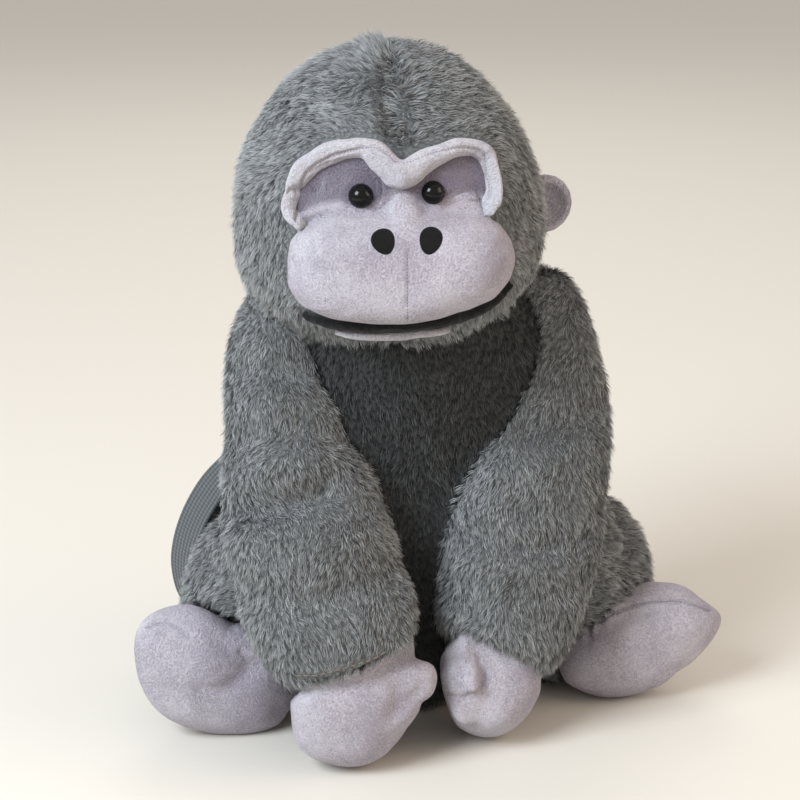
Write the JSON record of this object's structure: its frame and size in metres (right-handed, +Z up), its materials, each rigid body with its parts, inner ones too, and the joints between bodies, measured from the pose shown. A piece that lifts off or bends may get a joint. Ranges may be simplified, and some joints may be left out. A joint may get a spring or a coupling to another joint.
{
  "type": "plush animal backpack",
  "caption": "Seated plush gorilla whose hollow body is a zipped bag, with webbing shoulder straps and slide adjusters.",
  "frame": {"origin": "middle of the seat, on the floor it rests on", "axes": "+Z up, the face looks to -Y, and +X is the animal's own left"},
  "size_m": [0.3553, 0.2102, 0.405],
  "materials": {
    "fur": "deep grey plush pile, matt",
    "velour": "short pale mauve nap, soft sheen",
    "velour_dark": "short darker mauve nap, soft sheen",
    "black_cloth": "black felt and satin stitch, matt",
    "eye_plastic": "glossy black",
    "webbing": "ribbed woven webbing, matt",
    "buckle_plastic": "satin black",
    "zip_tape": "woven tape, matt",
    "zip_coil": "dark satin"
  },
  "bodies": {
    "root": {"body": "fur", "head": "fur", "arm_left": "fur", "arm_right": "fur", "leg_left": "fur", "leg_right": "fur", "brow": "velour", "muzzle": "velour", "lower_lip": "velour", "ear_left": "velour", "ear_right": "velour", "hand_left": "velour", "hand_right": "velour", "foot_left": "velour", "foot_right": "velour", "eye_panel": "velour_dark", "mouth": "black_cloth", "nostril_left": "black_cloth", "nostril_right": "black_cloth", "eye_left": "eye_plastic", "eye_right": "eye_plastic", "strap_upper_left": "webbing", "strap_upper_right": "webbing", "strap_lower_left": "webbing", "strap_lower_right": "webbing", "strap_tail_left": "webbing", "strap_tail_right": "webbing", "adjuster_left": "buckle_plastic", "adjuster_right": "buckle_plastic", "zip_tape": "zip_tape", "zip_coil": "zip_coil", "zip_slider": "zip_coil", "zip_pull": "zip_coil"}
  },
  "joints": []
}
